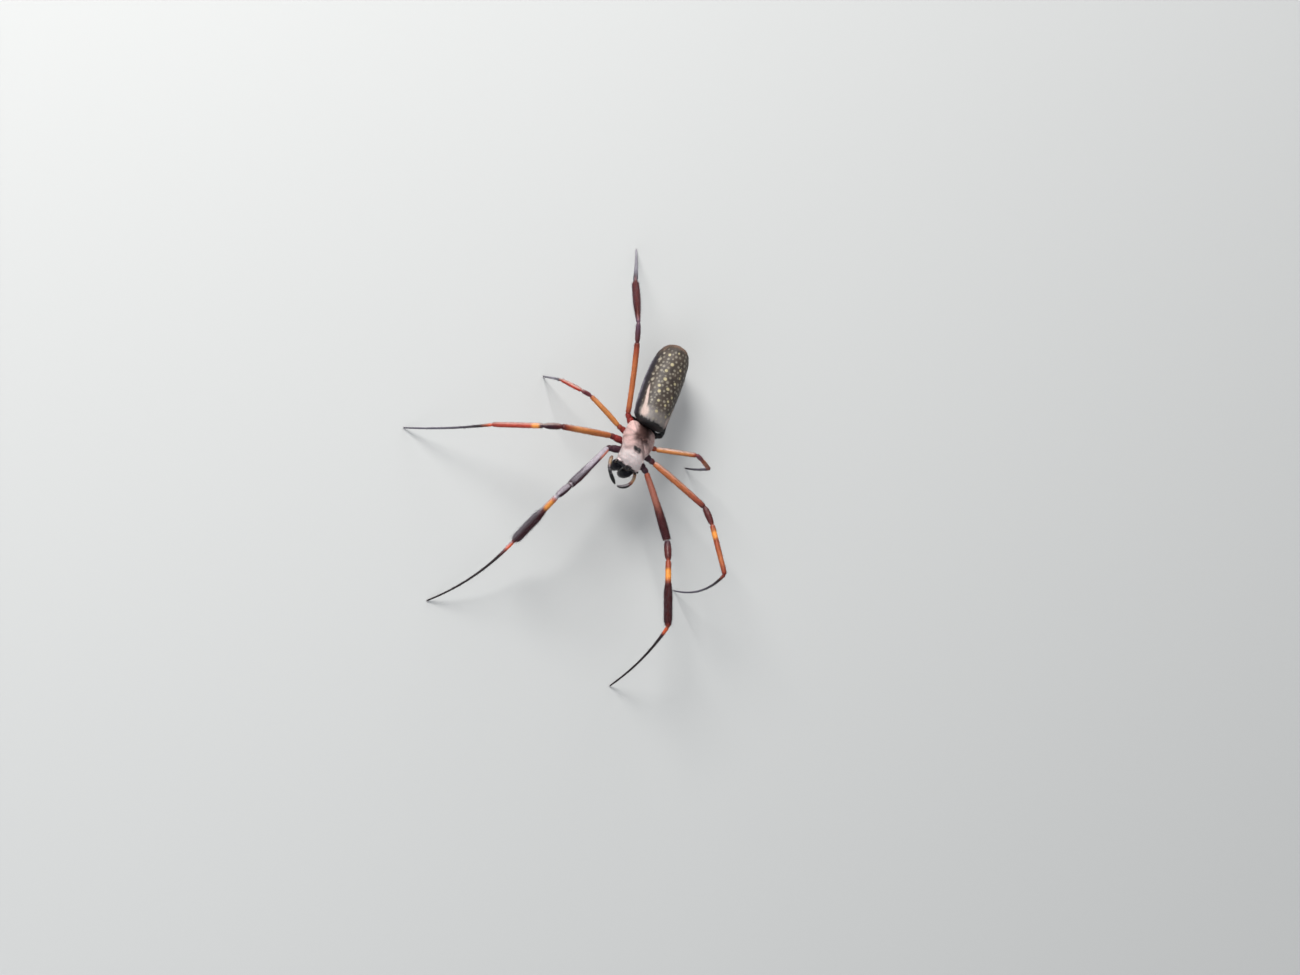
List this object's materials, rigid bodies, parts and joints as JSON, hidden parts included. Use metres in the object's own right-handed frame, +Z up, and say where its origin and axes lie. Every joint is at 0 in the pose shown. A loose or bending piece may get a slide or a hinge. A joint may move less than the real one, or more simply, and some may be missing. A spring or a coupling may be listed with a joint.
{
  "type": "golden silk orb weaver",
  "caption": "Life-size still model of a female golden silk orb weaver standing with its long banded legs spread.",
  "frame": {"origin": "on the floor, under the middle of the model's box", "axes": "+Z up, the head towards -Y, the spider's left towards +X"},
  "size_m": [0.064, 0.0788, 0.0186],
  "materials": {
    "carapace": "short silvery-white hair lying flat over a dark brown shell",
    "sternum": "orange-yellow plate with fine hair",
    "pedicel": "soft brown skin",
    "abdomen": "dark olive-brown skin with rows of small cream and yellow spots, a cream band in front and fine short hair",
    "spinnerets": "brown, finely haired",
    "jaw": "glossy black shell with sparse bristles",
    "palp": "orange-brown at the base, black and bristly at the tip",
    "eye": "clear glossy lens over black",
    "coxa": "dark reddish brown, finely haired",
    "femur": "orange-yellow, with a dark hair brush near the knee on the front pair",
    "patella": "dark purplish brown",
    "tibia": "yellow-orange ring, then dark maroon hair brush on the first and last pairs",
    "metatarsus": "orange at its base, then thin and black with short bristles"
  },
  "bodies": {
    "root": {"abdomen": "abdomen", "carapace": "carapace", "chelicera_left": "jaw", "chelicera_right": "jaw", "eye_front_middle_left": "eye", "eye_front_middle_right": "eye", "eye_front_side_left": "eye", "eye_front_side_right": "eye", "eye_rear_middle_left": "eye", "eye_rear_middle_right": "eye", "eye_rear_side_left": "eye", "eye_rear_side_right": "eye", "fang_left": "jaw", "fang_right": "jaw", "leg1_left_coxa": "coxa", "leg1_left_femur": "femur", "leg1_left_metatarsus": "metatarsus", "leg1_left_patella": "patella", "leg1_left_tibia": "tibia", "leg1_right_coxa": "coxa", "leg1_right_femur": "femur", "leg1_right_metatarsus": "metatarsus", "leg1_right_patella": "patella", "leg1_right_tibia": "tibia", "leg2_left_coxa": "coxa", "leg2_left_femur": "femur", "leg2_left_metatarsus": "metatarsus", "leg2_left_patella": "patella", "leg2_left_tibia": "tibia", "leg2_right_coxa": "coxa", "leg2_right_femur": "femur", "leg2_right_metatarsus": "metatarsus", "leg2_right_patella": "patella", "leg2_right_tibia": "tibia", "leg3_left_coxa": "coxa", "leg3_left_femur": "femur", "leg3_left_metatarsus": "metatarsus", "leg3_left_patella": "patella", "leg3_left_tibia": "tibia", "leg3_right_coxa": "coxa", "leg3_right_femur": "femur", "leg3_right_metatarsus": "metatarsus", "leg3_right_patella": "patella", "leg3_right_tibia": "tibia", "leg4_left_coxa": "coxa", "leg4_left_femur": "femur", "leg4_left_metatarsus": "metatarsus", "leg4_left_patella": "patella", "leg4_left_tibia": "tibia", "leg4_right_coxa": "coxa", "leg4_right_femur": "femur", "leg4_right_metatarsus": "metatarsus", "leg4_right_patella": "patella", "leg4_right_tibia": "tibia", "palp_left": "palp", "palp_right": "palp", "pedicel": "pedicel", "spinnerets": "spinnerets", "sternum": "sternum"}
  },
  "joints": []
}
